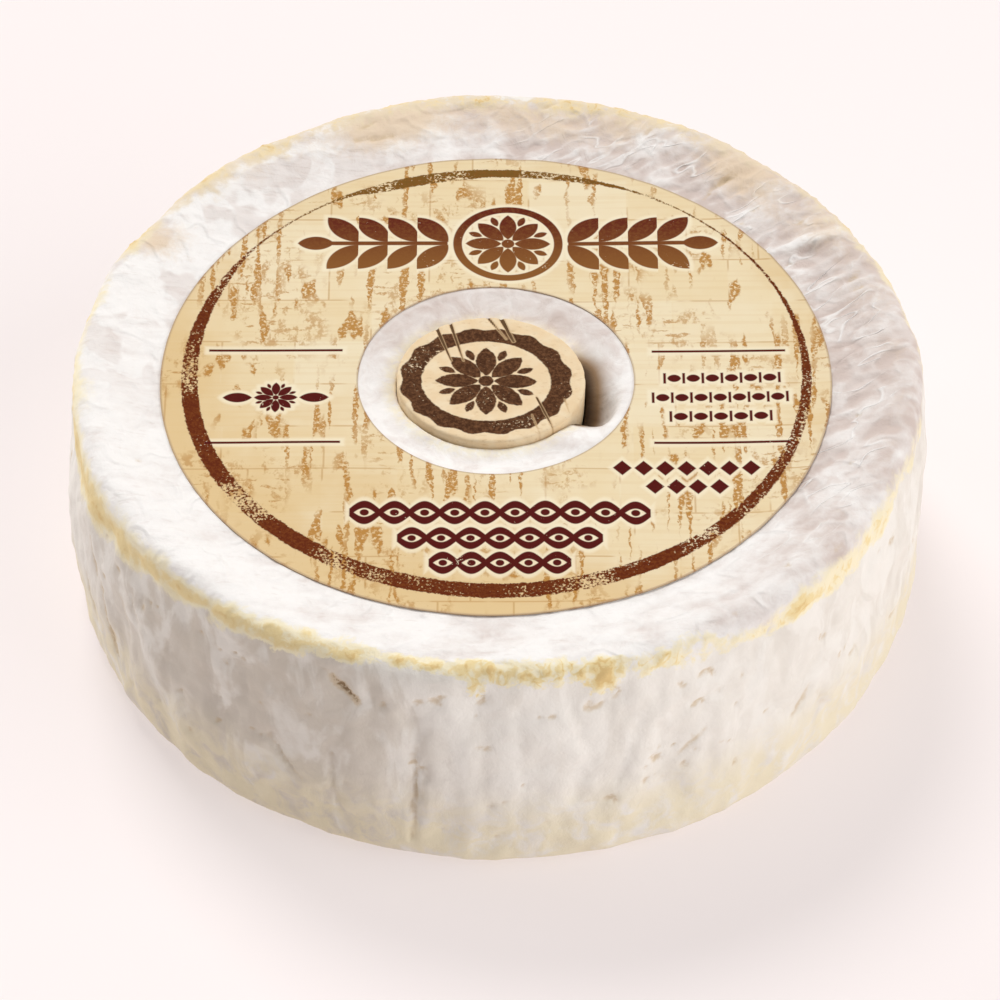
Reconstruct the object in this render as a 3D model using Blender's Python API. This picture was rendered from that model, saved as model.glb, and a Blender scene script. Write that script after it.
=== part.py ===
# A small soft cheese wheel with a white rind, a ring of paper on its top,
# and a cork pressed into the middle.
# The origin is the centre of the flat base, +Z is up, and lengths are in metres.
# The cork leans on its own axis, with its front edge proud of the rind.

import math

import bmesh
import bpy
from mathutils import Matrix, Vector, noise

MM = 0.001

# Driving dimensions of the wheel
WHEEL_RADIUS = 53.2 * MM  # at the fullest part of the side
WHEEL_HEIGHT = 32.0 * MM  # at the middle of the top
TOP_EDGE_RADIUS = 52.4 * MM  # just under the rounded upper edge
BASE_EDGE_RADIUS = 52.6 * MM
TOP_ROUND = 2.2 * MM
BASE_ROUND = 3.6 * MM
RIM_RISE = 1.6 * MM  # the top has sunk this much inside its edge
RIM_START_RADIUS = 41.5 * MM  # where it begins to climb to the edge

# The paper ring, laid on the middle of the top
LABEL_OUTER_RADIUS = 41.3 * MM
LABEL_INNER_RADIUS = 17.0 * MM
LABEL_THICKNESS = 0.3 * MM
LABEL_CENTRE = Vector((0.0, -0.1, 0.0)) * MM

# The cork, sunk into the wheel
CORK_RADIUS = 11.6 * MM
CORK_LENGTH = 12.0 * MM
CORK_CHAMFER = 0.5 * MM
CORK_CENTRE = Vector((-0.6, -0.5, 0.0)) * MM
CORK_PROUD = 0.65 * MM  # the middle of its upper face above the wheel's top
CORK_LEAN_BACK = math.radians(1.6)
CORK_LEAN_RIGHT = math.radians(1.2)

GAP = 0.3 * MM  # left between pieces that touch

# Unevenness of the ripened wheel, as depth and size of the lumps
TOP_WAVE = (0.40 * MM, 22 * MM)
SIDE_LUMP = (0.50 * MM, 15 * MM)
EDGE_LUMP = (0.40 * MM, 8 * MM)
EDGE_DROOP = (0.50 * MM, 11 * MM)
EDGE_REACH = 5 * MM  # how far from the upper edge its own unevenness reaches
OUTER_ZONE = (43 * MM, 50 * MM)  # radii between which the side's unevenness fades in
OUT_OF_ROUND = ((1, 0.20 * MM, -90), (2, 0.30 * MM, 180), (4, 0.15 * MM, 0))  # lobes, depth, turn in degrees

# Broad swellings of the wheel: direction in degrees, height, half width in degrees
SWELLINGS = (
    (75, 1.2 * MM, 26),
    (60, -0.5 * MM, 5),
    (18, 0.45 * MM, 16),
)

# Upright folds of the side: direction in degrees, depth, half width
SIDE_FOLDS = (
    (-99, 0.8 * MM, 2.6 * MM),
    (-128, 0.5 * MM, 2.4 * MM),
    (-152, 0.7 * MM, 2.4 * MM),
    (-70, 0.5 * MM, 2.8 * MM),
    (-31, 0.6 * MM, 2.6 * MM),
    (9, 0.6 * MM, 2.4 * MM),
    (58, 0.7 * MM, 2.8 * MM),
    (104, 0.6 * MM, 2.4 * MM),
    (151, 0.7 * MM, 2.6 * MM),
)

# The hollow round the cork, deepest on the right, with a pocket there and a fold that laps up beside it
DISH_DEPTH = 1.4 * MM
DISH_LEAST = 0.35  # share of that depth on the left
DISH_TURN = math.radians(-10)  # direction of the deepest side
POCKET = (Vector((12.5, -4.2, 0.0)) * MM, 3.6 * MM, 2.5 * MM)  # place, depth, half width
LAP = (Vector((10.1, -11.2, 0.0)) * MM, 0.9 * MM, 2.8 * MM)  # place, height, half width

WHEEL_STEPS = 96
LABEL_STEPS = 96
CORK_STEPS = 48

RIND_COLOUR = (0.86, 0.83, 0.77, 1)
PAPER_COLOUR = (0.80, 0.67, 0.42, 1)
CORK_COLOUR = (0.78, 0.60, 0.38, 1)


def clear_scene():
    for item in list(bpy.data.objects):
        bpy.data.objects.remove(item)


def plain_material(name, colour, roughness):
    material = bpy.data.materials.new(name)
    material.use_nodes = True
    shader = material.node_tree.nodes["Principled BSDF"]
    shader.inputs["Base Color"].default_value = colour
    shader.inputs["Roughness"].default_value = roughness
    shader.inputs["Metallic"].default_value = 0.0
    return material


def smooth_step(low, high, value):
    share = min(1.0, max(0.0, (value - low) / (high - low)))
    return share * share * (3 - 2 * share)


def bump(distance, half_width):
    """1 at no distance, falling smoothly to almost 0 at two half widths."""
    return math.exp(-((distance / half_width) ** 2))


def waves(point, depth_and_size, shift=0.0):
    depth, size = depth_and_size
    return depth * noise.noise(point / size + Vector((shift, shift, shift)))


def arc(centre_r, centre_z, radius, start_deg, end_deg, count):
    for i in range(count + 1):
        angle = math.radians(start_deg + (end_deg - start_deg) * i / count)
        yield centre_r + radius * math.cos(angle), centre_z + radius * math.sin(angle)


def wheel_outline():
    """The half section (radius, height), from the middle of the base to the middle of the top."""
    points = [(0.0, 0.0), (20 * MM, 0.0), (38 * MM, 0.0)]
    points += arc(BASE_EDGE_RADIUS - BASE_ROUND, BASE_ROUND, BASE_ROUND, -90, 0, 3)
    side_low, side_high = BASE_ROUND, WHEEL_HEIGHT + RIM_RISE - TOP_ROUND
    side_rows = 9
    for i in range(1, side_rows):
        share = i / side_rows
        straight = BASE_EDGE_RADIUS + (TOP_EDGE_RADIUS - BASE_EDGE_RADIUS) * share
        belly = (WHEEL_RADIUS - TOP_EDGE_RADIUS) * math.sin(math.pi * share)
        points.append((straight + belly, side_low + (side_high - side_low) * share))
    points += arc(TOP_EDGE_RADIUS - TOP_ROUND, side_high, TOP_ROUND, 0, 90, 4)
    rim_rings = (48.4, 46.6, 44.6, 42.6)
    top_rings = (38.0, 33.0, 28.0, 23.0, 18.6, 16.8, 15.6, 14.4, 13.2, 12.4, 10.6, 6.0, 0.0)
    points += [(radius * MM, WHEEL_HEIGHT + rim_climb(radius * MM)) for radius in rim_rings + top_rings]
    return points


def rim_climb(radius):
    """How far the top has climbed towards the rim at a radius."""
    return RIM_RISE * smooth_step(RIM_START_RADIUS, TOP_EDGE_RADIUS - TOP_ROUND, radius)


def top_wave(x, y):
    """How far the top surface swells or sinks at a place."""
    return waves(Vector((x, y, 0.0)), TOP_WAVE, 3.7)


def hollow(x, y):
    """How far the rind round the cork lies below the top, less where it laps up."""
    place = Vector((x, y, 0.0))
    from_cork = (place - CORK_CENTRE).length
    inside = 1 - smooth_step(CORK_RADIUS + 0.6 * MM, LABEL_INNER_RADIUS - 0.4 * MM, from_cork)
    near = 1 - smooth_step(LABEL_INNER_RADIUS - 2.2 * MM, LABEL_INNER_RADIUS, from_cork)
    pocket_place, pocket_depth, pocket_width = POCKET
    lap_place, lap_height, lap_width = LAP
    pocket = pocket_depth * bump((place - pocket_place).length, pocket_width)
    lap = lap_height * bump((place - lap_place).length, lap_width)
    turn = math.atan2(y - CORK_CENTRE.y, x - CORK_CENTRE.x) - DISH_TURN
    depth_share = DISH_LEAST + (1 - DISH_LEAST) * (1 + math.cos(turn)) / 2
    return DISH_DEPTH * depth_share * inside + (pocket - lap) * near


def swelling(angle):
    """How far the wheel swells outwards in a direction."""
    total = 0.0
    for direction, height, half_width in SWELLINGS:
        apart = (math.degrees(angle) - direction + 180) % 360 - 180
        total += height * bump(apart, half_width)
    return total


def fold_depth(angle, height, radius):
    """Depth of the upright folds at a place on the side. They fade towards both edges and wander a little."""
    upright = math.sin(math.pi * min(1.0, max(0.0, height / WHEEL_HEIGHT)))
    total = 0.0
    for direction, depth, half_width in SIDE_FOLDS:
        wander = 0.05 * math.sin(height / (6 * MM) + direction)
        apart = (angle - math.radians(direction) - wander + math.pi) % math.tau - math.pi
        total += depth * upright * bump(apart * radius, half_width)
    return total


def uneven(point):
    """Where a point of the plain turned wheel lies on the real, uneven one."""
    radius = math.hypot(point.x, point.y)
    if radius < 1e-6:
        return Vector((0.0, 0.0, point.z - (hollow(0, 0) - top_wave(0, 0)) * (point.z > 0)))
    angle = math.atan2(point.y, point.x)
    outer = smooth_step(*OUTER_ZONE, radius)
    near_top_edge = bump(math.hypot(radius - TOP_EDGE_RADIUS, point.z - WHEEL_HEIGHT), EDGE_REACH)
    height_share = smooth_step(0.35 * WHEEL_HEIGHT, WHEEL_HEIGHT, point.z)

    out = waves(point, SIDE_LUMP) + waves(point, EDGE_LUMP, 9.1) * (0.35 + 0.65 * near_top_edge)
    out += sum(depth * math.cos(lobes * angle + math.radians(turn)) for lobes, depth, turn in OUT_OF_ROUND)
    out += swelling(angle) - fold_depth(angle, point.z, radius)

    up = height_share * top_wave(point.x, point.y)
    up += near_top_edge * waves(point, EDGE_DROOP, 5.3)
    if point.z > 0.9 * WHEEL_HEIGHT and radius < LABEL_INNER_RADIUS + 2 * MM:
        up -= hollow(point.x, point.y)

    turned = Vector((math.cos(angle), math.sin(angle), 0.0)) * (radius + outer * out)
    return turned + Vector((0.0, 0.0, point.z + up))


def cork_matrix():
    """Places the cork's own frame: its upper face at z = 0, its length below."""
    lean = Matrix.Rotation(-CORK_LEAN_BACK, 4, "X") @ Matrix.Rotation(CORK_LEAN_RIGHT, 4, "Y")
    place = CORK_CENTRE + Vector((0.0, 0.0, WHEEL_HEIGHT + CORK_PROUD))
    return Matrix.Translation(place) @ lean


def new_object(name, mesh, material):
    piece = bpy.data.objects.new(name, mesh)
    bpy.context.scene.collection.objects.link(piece)
    mesh.materials.append(material)
    mesh.shade_smooth()
    mesh.set_sharp_from_angle(angle=math.radians(40))
    return piece


def cork_plug(name, radius, length, chamfer, material):
    """A cylinder with its upper face on the cork's own z = 0, leaning as the cork does."""
    mesh = bpy.data.meshes.new(name)
    shape = bmesh.new()
    bmesh.ops.create_cone(
        shape,
        cap_ends=True,
        cap_tris=False,
        segments=CORK_STEPS,
        radius1=radius,
        radius2=radius,
        depth=length,
        matrix=Matrix.Translation((0.0, 0.0, -length / 2)),
    )
    if chamfer:
        rims = [edge for edge in shape.edges if abs(edge.verts[0].co.z - edge.verts[1].co.z) < 1e-6]
        bmesh.ops.bevel(shape, geom=rims, offset=chamfer, segments=2, affect="EDGES", profile=0.5)
    shape.to_mesh(mesh)
    shape.free()
    piece = new_object(name, mesh, material)
    piece.matrix_world = cork_matrix()
    return piece


def make_wheel(material):
    mesh = bpy.data.meshes.new("cheese")
    shape = bmesh.new()
    points = [shape.verts.new((radius, 0.0, height)) for radius, height in wheel_outline()]
    edges = [shape.edges.new(pair) for pair in zip(points, points[1:])]
    bmesh.ops.spin(
        shape,
        geom=points + edges,
        cent=(0, 0, 0),
        axis=(0, 0, 1),
        angle=math.tau,
        steps=WHEEL_STEPS,
    )
    bmesh.ops.remove_doubles(shape, verts=shape.verts, dist=1e-6)
    bmesh.ops.recalc_face_normals(shape, faces=shape.faces)
    for vertex in shape.verts:
        vertex.co = uneven(vertex.co)
    shape.to_mesh(mesh)
    shape.free()
    return new_object("cheese", mesh, material)


def cut_socket(wheel, material):
    """The hole that the cork fills, cut by a longer plug that is GAP wider all round."""
    above = 6 * MM
    cutter = cork_plug("socket_cutter", CORK_RADIUS + GAP, CORK_LENGTH + GAP + above, 0, material)
    cutter.matrix_world = cork_matrix() @ Matrix.Translation((0.0, 0.0, above))
    cutter.hide_render = True
    cutter.display_type = "WIRE"
    socket = wheel.modifiers.new("cork socket", "BOOLEAN")
    socket.operation = "DIFFERENCE"
    socket.object = cutter


def make_label(material):
    """A flat ring laid on the wheel's top, which it follows, and thickened upwards."""
    mesh = bpy.data.meshes.new("label")
    sheet = bmesh.new()
    bands = 4
    rings = []
    for i in range(bands + 1):
        radius = LABEL_INNER_RADIUS + (LABEL_OUTER_RADIUS - LABEL_INNER_RADIUS) * i / bands
        made = bmesh.ops.create_circle(sheet, segments=LABEL_STEPS, radius=radius)
        rings.append({edge for vertex in made["verts"] for edge in vertex.link_edges})
    for inner, outer in zip(rings, rings[1:]):
        bmesh.ops.bridge_loops(sheet, edges=list(inner | outer))
    for vertex in sheet.verts:
        vertex.co += LABEL_CENTRE
        vertex.co.z = WHEEL_HEIGHT + GAP + top_wave(vertex.co.x, vertex.co.y)
    bmesh.ops.recalc_face_normals(sheet, faces=sheet.faces)
    if sum(face.normal.z for face in sheet.faces) < 0:
        bmesh.ops.reverse_faces(sheet, faces=sheet.faces)
    bmesh.ops.triangulate(sheet, faces=sheet.faces)
    sheet.to_mesh(mesh)
    sheet.free()
    piece = new_object("label", mesh, material)
    paper = piece.modifiers.new("paper", "SOLIDIFY")
    paper.thickness = LABEL_THICKNESS
    paper.offset = 1.0
    return piece


def main():
    clear_scene()
    rind = plain_material("white rind", RIND_COLOUR, 0.8)
    paper = plain_material("printed paper", PAPER_COLOUR, 0.65)
    bark = plain_material("cork bark", CORK_COLOUR, 0.85)
    wheel = make_wheel(rind)
    cut_socket(wheel, rind)
    make_label(paper)
    cork_plug("cork", CORK_RADIUS, CORK_LENGTH, CORK_CHAMFER, bark)


main()
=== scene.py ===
# A small soft cheese wheel in a white rind, with a printed paper ring and a cork on its top.
# Metres, +Z up, the origin at the middle of the flat base, the print facing -Y.
import math
import random
from functools import partialmethod, reduce

import bpy
import numpy as np
from mathutils import Matrix, Vector, noise


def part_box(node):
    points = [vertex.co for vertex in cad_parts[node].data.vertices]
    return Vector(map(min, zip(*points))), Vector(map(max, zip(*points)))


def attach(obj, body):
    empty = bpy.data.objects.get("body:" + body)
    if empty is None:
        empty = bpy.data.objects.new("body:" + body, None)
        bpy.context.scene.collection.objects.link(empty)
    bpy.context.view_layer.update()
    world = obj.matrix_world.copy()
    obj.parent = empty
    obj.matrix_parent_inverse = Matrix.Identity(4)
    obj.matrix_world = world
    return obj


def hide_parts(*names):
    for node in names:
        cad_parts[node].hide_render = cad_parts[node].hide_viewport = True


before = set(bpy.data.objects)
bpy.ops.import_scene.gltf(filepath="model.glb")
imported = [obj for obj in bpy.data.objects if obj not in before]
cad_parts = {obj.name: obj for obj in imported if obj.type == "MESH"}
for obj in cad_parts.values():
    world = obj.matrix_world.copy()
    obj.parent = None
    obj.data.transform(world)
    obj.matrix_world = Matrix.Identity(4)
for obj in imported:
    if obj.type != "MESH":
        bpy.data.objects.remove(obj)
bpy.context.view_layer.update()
mm = 0.001
print("frame loaded:", sorted(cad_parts))


# Modelling helpers

def clearSelection():
    if bpy.context.object and bpy.context.object.mode != "OBJECT":
        bpy.ops.object.mode_set(mode="OBJECT")
    bpy.ops.object.select_all(action="DESELECT")


def selectOnly(piece):
    clearSelection()
    piece.select_set(True)
    bpy.context.view_layer.objects.active = piece


def arcPoints(centreR, centreZ, radius, startDeg, endDeg, steps):
    turns = [math.radians(startDeg + (endDeg - startDeg) * i / steps) for i in range(steps + 1)]
    return [(centreR + radius * math.cos(t), centreZ + radius * math.sin(t)) for t in turns]


def rowsTo(points, end, pitch):  # adds evenly spaced points from the last one to end
    start = points[-1]
    steps = max(1, round(math.dist(start, end) / pitch))
    points += [tuple(a + (b - a) * i / steps for a, b in zip(start, end)) for i in range(1, steps + 1)]


def extrudeRings(name, outline, segments, filled=True):
    clearSelection()
    radius, height = outline[0]
    bpy.ops.mesh.primitive_circle_add(
        vertices=segments, radius=radius, fill_type="NGON" if filled else "NOTHING", location=(0, 0, height)
    )
    piece = bpy.context.object
    piece.name = piece.data.name = name
    bpy.ops.object.transform_apply(location=True, rotation=True, scale=True)
    bpy.ops.object.mode_set(mode="EDIT")
    bpy.ops.mesh.select_all(action="SELECT")
    for nextRadius, nextHeight in outline[1:]:
        bpy.ops.mesh.extrude_region_move(TRANSFORM_OT_translate={"value": (0, 0, nextHeight - height)})
        bpy.ops.transform.resize(value=(nextRadius / radius, nextRadius / radius, 1))
        radius, height = nextRadius, nextHeight
    bpy.ops.object.mode_set(mode="OBJECT")
    return piece


def applyModifier(piece, kind, **settings):
    selectOnly(piece)
    modifier = piece.modifiers.new(kind.title(), kind)
    for key, value in settings.items():
        setattr(modifier, key, value)
    bpy.ops.object.modifier_apply(modifier=modifier.name)


def readPoints(mesh, what="co"):
    values = np.empty(len(mesh.vertices) * 3, np.float32)
    mesh.vertices.foreach_get(what, values)
    return values.reshape(-1, 3).astype(float)


def writePoints(mesh, points):
    mesh.vertices.foreach_set("co", points.astype(np.float32).ravel())
    mesh.update()


def saveMask(mesh, name, values):
    layer = mesh.attributes.get(name) or mesh.attributes.new(name, "FLOAT", "POINT")
    layer.data.foreach_set("value", np.asarray(values, np.float32))


def softStep(low, high, value):
    share = np.clip((value - low) / (high - low), 0, 1)
    return share * share * (3 - 2 * share)


def unevenness(points, size, shift, octaves=3):  # soft noise at each point, about -1 to 1
    spots = (points / size + shift).tolist()
    return np.array([noise.fractal(spot, 1.0, 2.0, octaves) for spot in spots])


def offTurn(turn, start):  # degrees from start, -180 to 180
    return (turn - start + 180) % 360 - 180


def byTurn(turn, stops):  # a value that changes round the wheel, from (degrees, value) stops
    return np.interp(turn, [s[0] for s in stops], [s[1] for s in stops], period=360)


def smoothShade(piece):
    selectOnly(piece)
    bpy.ops.object.shade_smooth()


# Where the cork stands, read from the frame

def corkPlace():
    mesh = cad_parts["cork"].data
    upper = [face for face in mesh.polygons if face.normal.z > 0.98]
    area = sum(face.area for face in upper)
    middle = sum((face.center * face.area for face in upper), Vector()) / area
    axis = sum((face.normal * face.area for face in upper), Vector()).normalized()
    return Matrix.Translation(middle) @ Vector((0, 0, 1)).rotation_difference(axis).to_matrix().to_4x4()


corkMatrix = corkPlace()


# The wheel and its rind

wheel = {
    "segments": 720,
    "height": 32.0 * mm,  # at the middle of the top
    "rimRise": 1.6 * mm,
    "rimStart": 41.5 * mm,
    "flatBase": 49.0 * mm,
    "baseRound": 3.6 * mm,
    "baseEdge": 52.6 * mm,
    "belly": 0.8 * mm,  # how far the side swells between its edges
    "topEdge": 52.4 * mm,
    "topRound": 2.2 * mm,
    "sideRows": 61,
    "paperReach": 40.0 * mm,  # the rows are coarse from here in to bowlReach, under the paper
    "bowlReach": 18.0 * mm,
    "shifted": (12.0 * mm, 17.5 * mm),  # rings are centred on the cork inside these, and on the wheel outside
    "socket": 11.65 * mm,  # just wider than the cork
    "socketBrim": 12.2 * mm,  # wider than the hole in the frame's solid
    "socketWithin": (11.9 * mm, 31.9 * mm),  # points inside this reach and height line the socket
    "socketFloor": 20.0 * mm,
    "labelSeat": 0.12 * mm,  # how far the top stands up to meet the paper
    "seed": 7,
}
flatTop = wheel["topEdge"] - wheel["topRound"]
rimTurn = wheel["height"] + wheel["rimRise"] - wheel["topRound"]  # height at which the side turns over into the rim

crustLine = [  # degrees round the wheel, millimetres down from the crest, half width, strength
    (-176, 3, 1.5, 0.9), (-166, 4.6, 1.5, 1.1), (-154, 4.4, 1.5, 1.15), (-142, 3.5, 1.2, 1.1), (-136, 2.8, 1.2, 1.1),
    (-126, 2.2, 1.1, 1), (-118, 1.4, 1.1, 1.05), (-106, 0.6, 1, 0.9), (-94, 0.9, 0.8, 1), (-86, 1.2, 1.1, 0.75),
    (-76, 1.9, 1.3, 1.2), (-69, 2.6, 1, 0.8), (-63, 2.4, 1.3, 0.55), (-58, 3.4, 0.9, 0.7), (-52, 4.5, 0.9, 0.65),
    (-46, 3.7, 1.3, 1.05), (-37, 4, 1.2, 0.8), (-28, 3.9, 1.3, 0.75), (-21, 2.2, 0.9, 0.4), (-10, 3.5, 1.2, 0.5),
    (-3, 3.5, 0.8, 0.1), (5, 3, 1.2, 0.4), (14, 4, 1.1, 0.85), (22, 2, 1.2, 0.65), (32, 2.2, 1.9, 0.8),
    (44, 2.8, 1.8, 0.65), (56, 1.5, 1.8, 0.55), (68, 1.8, 1.6, 0.75), (80, 1.8, 1.3, 0.85), (88, 1, 1.3, 0.45),
    (98, 1.7, 1.4, 0.65), (110, 1.8, 1.8, 0.6), (119, 1.3, 1.2, 0.3), (125, 0.5, 1.4, 0.95), (130, 1.3, 1, 0.35),
    (137, 0.3, 1.5, 1), (145, 1.5, 1, 0.25), (152, 1.3, 1.3, 1), (158, 2, 0.8, 0.1), (165, 1.4, 1, 0.6),
    (171, 1.6, 0.9, 0.35),
]
crustDrips = [  # degrees, length down the side and half width in millimetres, strength
    (-92.5, 4.4, 0.8, 0.8), (-85, 2.4, 1.6, 0.6), (-76, 3, 1.7, 1), (-71, 2, 0.8, 0.7), (-59, 1.6, 0.9, 0.7),
    (-123, 1.6, 0.8, 0.6), (-139, 1.6, 0.9, 0.6), (-149, 1.5, 1, 0.6), (12, 2, 1.1, 0.7), (36, 3.2, 1.2, 0.8),
    (63, 2.2, 1.4, 0.8), (101, 2.8, 1, 0.7), (133, 3.2, 1.3, 0.8), (168, 2.4, 1, 0.7),
]
crustSpread = [  # degrees and how much wider the crust is there
    (-178, 1.5), (-165, 1.9), (-150, 1.55), (-138, 1.35), (-102, 1), (-88, 1.1), (-30, 1.35), (0, 1.2), (40, 1),
    (100, 1), (125, 1.3), (150, 1.1), (172, 1.1),
]
crustBreaks = [  # degrees and how patchy the crust is there
    (-176, 0.5), (-162, 0.3), (-120, 0.4), (-92, 1.3), (-58, 1.2), (-42, 0.75), (0, 0.85), (40, 1.1), (150, 1),
    (170, 0.8),
]
tanPatches = [  # degrees and how much the top just inside the rim has browned
    (-170, 0.1), (-150, 0), (-60, 0), (-35, 0.1), (0, 0.15), (20, 0.25), (38, 0.55), (50, 0.75), (58, 0.45),
    (72, 0.8), (84, 0.55), (98, 0.75), (110, 0.75), (117, 0.3), (124, 0.1), (135, 0.55), (142, 0.1), (152, 0.7),
    (158, 0), (172, 0.05),
]
topGrey = [  # degrees and how far the white bloom of the top gives way to grey
    (-170, 0.08), (-140, 0.06), (-100, 0.24), (-88, 0.3), (-62, 0.22), (-42, 0.52), (-20, 0.74), (5, 0.8), (30, 0.84),
    (60, 0.88), (88, 0.9), (102, 0.5), (115, 0.12), (135, 0.1), (150, 0.08), (165, 0.1),
]
sideLightTone = [  # degrees and how pale the side is under the crust: painted light and shade round the wheel, darkest where the side faces away from the light
    (-175, 1), (-163, 0.75), (-152, 0.4), (-140, 0.1), (-118, 0), (-106, 0.18), (-94, 0.84), (-80, 0.9), (-60, 0.8),
    (-40, 0.72), (-20, 0.68), (0, 0.72), (60, 0.65), (90, 0.45), (120, 0.4), (150, 0.5),
]
topGrain = [  # degrees and the direction that the wrinkles of the top take there
    (-150, 0), (-100, 5), (-60, 14), (-40, 24), (-18, 33), (20, 30), (50, 20), (90, 10), (150, 4),
]
topCreases = [  # from and to in millimetres across the top, then depth, half width, how dark
    (-18, 43.7, -13.2, 44.7, 0.35, 0.4, 0.5), (-17.6, 45.5, -15.6, 46.9, 0.25, 0.35, 0.4),
    (27.7, 35.1, 30.5, 37, 0.35, 0.45, 0.6), (26.6, 33.4, 27.2, 34.6, 0.25, 0.35, 0.45),
    (6.1, 50, 8.1, 51, 0.25, 0.45, 0.5), (18.9, 44.4, 20.7, 46.4, 0.25, 0.4, 0.4),
    (44.1, 17, 45.6, 18.3, 0.25, 0.4, 0.5), (44.4, 15, 45.9, 15.5, 0.25, 0.35, 0.5),
    (38, 27.6, 38.5, 27.8, 0.3, 0.45, 0.55), (36.4, 21, 37.4, 21.3, 0.2, 0.35, 0.3),
    (30.4, 28.2, 31.4, 28.5, 0.2, 0.35, 0.35), (32.3, 30.5, 33.1, 30.8, 0.2, 0.35, 0.35),
    (-43.6, -15.4, -43.2, -15.4, 0.2, 0.45, 0.3), (44.2, -7.4, 44.4, -7.3, 0.25, 0.4, 0.45),
    (42.9, -16.4, 43.1, -16.4, 0.25, 0.35, 0.4), (41.2, -30.4, 40.2, -31.7, 0.3, 0.4, 0.55),
    (34.2, -34.4, 34.7, -34.4, 0.3, 0.4, 0.5), (28, -42, 28.3, -41.9, 0.25, 0.4, 0.45),
    (44.1, -25.4, 44.5, -25.2, 0.25, 0.35, 0.4), (46.4, -14, 49, -13, 0.22, 0.4, 0.15),
]
topFold = (33.9, 22.8, 45.6, 26, 0.65, 1.1)  # a fold that stands up behind the paper's right edge
sideCreases = [  # from and to as degrees and height, then depth, half width and how dark
    (-113.2, 31, -111.4, 29.4, 0.25, 0.42, 0.25), (-111.6, 29.6, -108, 26.8, 0.45, 0.46, 1.2),
    (-120.6, 16.7, -116.3, 11, 0.45, 0.5, 0.3), (-112.1, 18.1, -110.6, 8, 0.45, 0.5, 0.15),
    (-100.4, 28, -100.4, 20, 0.5, 0.9, 0.1), (-100.4, 20, -100.9, 5, 0.7, 0.5, 0.4),
    (-99, 19, -99.6, 9, 0.35, 0.35, 0.15), (-158.4, 24, -157.2, 18.5, 0.3, 0.45, 0.6),
    (-155.4, 18.5, -153.6, 10.4, 0.32, 0.42, 0.7), (-153.6, 12.5, -152.6, 8, 0.3, 0.42, 0.75),
    (-162, 15, -160.4, 8, 0.3, 0.42, 0.5), (-149.6, 21, -148, 15, 0.2, 0.42, 0.3),
    (-146, 25, -145, 20, 0.3, 0.4, 0.25), (-80.4, 29, -78.2, 20, 0.35, 1.2, 0.05),
    (-78.2, 20, -79.5, 13, 0.3, 1.1, 0.05), (-71, 24, -74.5, 14, 0.3, 0.9, 0.05), (-66, 16, -62, 19.5, 0.2, 0.4, 0.4),
    (-60, 16, -57.5, 15.2, 0.15, 0.35, 0.35),
]
sidePits = [  # degrees and height, half width, how dark
    (-83, 26.8, 0.4, 0.8), (-84.3, 27, 0.35, 0.5), (-92.2, 22.2, 0.4, 0.6), (-98, 29.4, 0.55, 0.7),
    (-99.6, 29, 0.5, 0.6), (-92.6, 27, 0.35, 0.5), (-74.8, 28.4, 0.45, 0.6), (-100.9, 18.2, 0.4, 1),
    (-99.7, 17.6, 0.4, 1), (-104.5, 27.3, 0.4, 0.6), (-132, 27, 0.45, 0.7), (-128.5, 26.6, 0.4, 0.7),
    (-125, 26.8, 0.4, 0.6), (-68.5, 18.5, 0.35, 0.6), (-66.5, 17.8, 0.35, 0.6), (-70.5, 16, 0.4, 0.5),
    (-64, 18.8, 0.3, 0.5), (-57.5, 21, 0.4, 0.4), (-143.5, 23.8, 0.35, 0.7), (-140.4, 26.1, 0.35, 0.6),
    (-136.1, 14.8, 0.35, 0.5), (-146.5, 11.7, 0.4, 0.6), (-122, 21.3, 0.3, 0.6), (-114.6, 23, 0.35, 0.6),
]
sideCurls = [  # degrees and height, radius of the curl, how dark
    (-62, 27.3, 0.85, 0.65), (-63, 23.6, 0.6, 0.6), (-65.3, 27.8, 0.5, 0.4), (-77.1, 28.2, 0.8, 0.45),
    (-74.7, 29.2, 0.5, 0.45), (-69.3, 16.9, 0.5, 0.55), (-67.7, 17, 0.35, 0.45), (-64.9, 14.2, 0.4, 0.35),
    (-70, 13.5, 0.45, 0.45), (-74.9, 11.3, 0.7, 0.55), (-63.1, 16.7, 0.4, 0.35), (-57.4, 11.3, 0.3, 0.45),
    (-91, 21.8, 0.35, 0.45), (-96.6, 29.5, 0.6, 0.55), (-92.4, 29.4, 0.6, 0.45),
]


def rimClimb(radius):  # how far the top has climbed towards its rim
    return wheel["rimRise"] * float(softStep(wheel["rimStart"], flatTop, radius))


def wheelOutline():
    w = wheel
    sideLow = w["baseRound"]
    points = arcPoints(w["flatBase"], sideLow, sideLow, -90, 0, 10)
    for i in range(1, w["sideRows"]):
        share = i / w["sideRows"]
        radius = w["baseEdge"] + (w["topEdge"] - w["baseEdge"]) * share + w["belly"] * math.sin(math.pi * share)
        points.append((radius, sideLow + (rimTurn - sideLow) * share))
    points += arcPoints(flatTop, rimTurn, w["topRound"], 0, 90, 10)
    for end, pitch in (("paperReach", 0.4), ("bowlReach", 5.5), ("socket", 0.32)):
        points[-1] = (points[-1][0], w["height"])
        rowsTo(points, (w[end], w["height"]), pitch * mm)
    top = [i for i, point in enumerate(points) if point[1] == w["height"]]
    for i in top:
        points[i] = (points[i][0], w["height"] + rimClimb(points[i][0]))
    rowsTo(points, (w["socket"], w["height"] - 3 * mm), 1.0 * mm)
    rowsTo(points, (w["socket"], w["socketFloor"]), 5 * mm)
    return points


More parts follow.
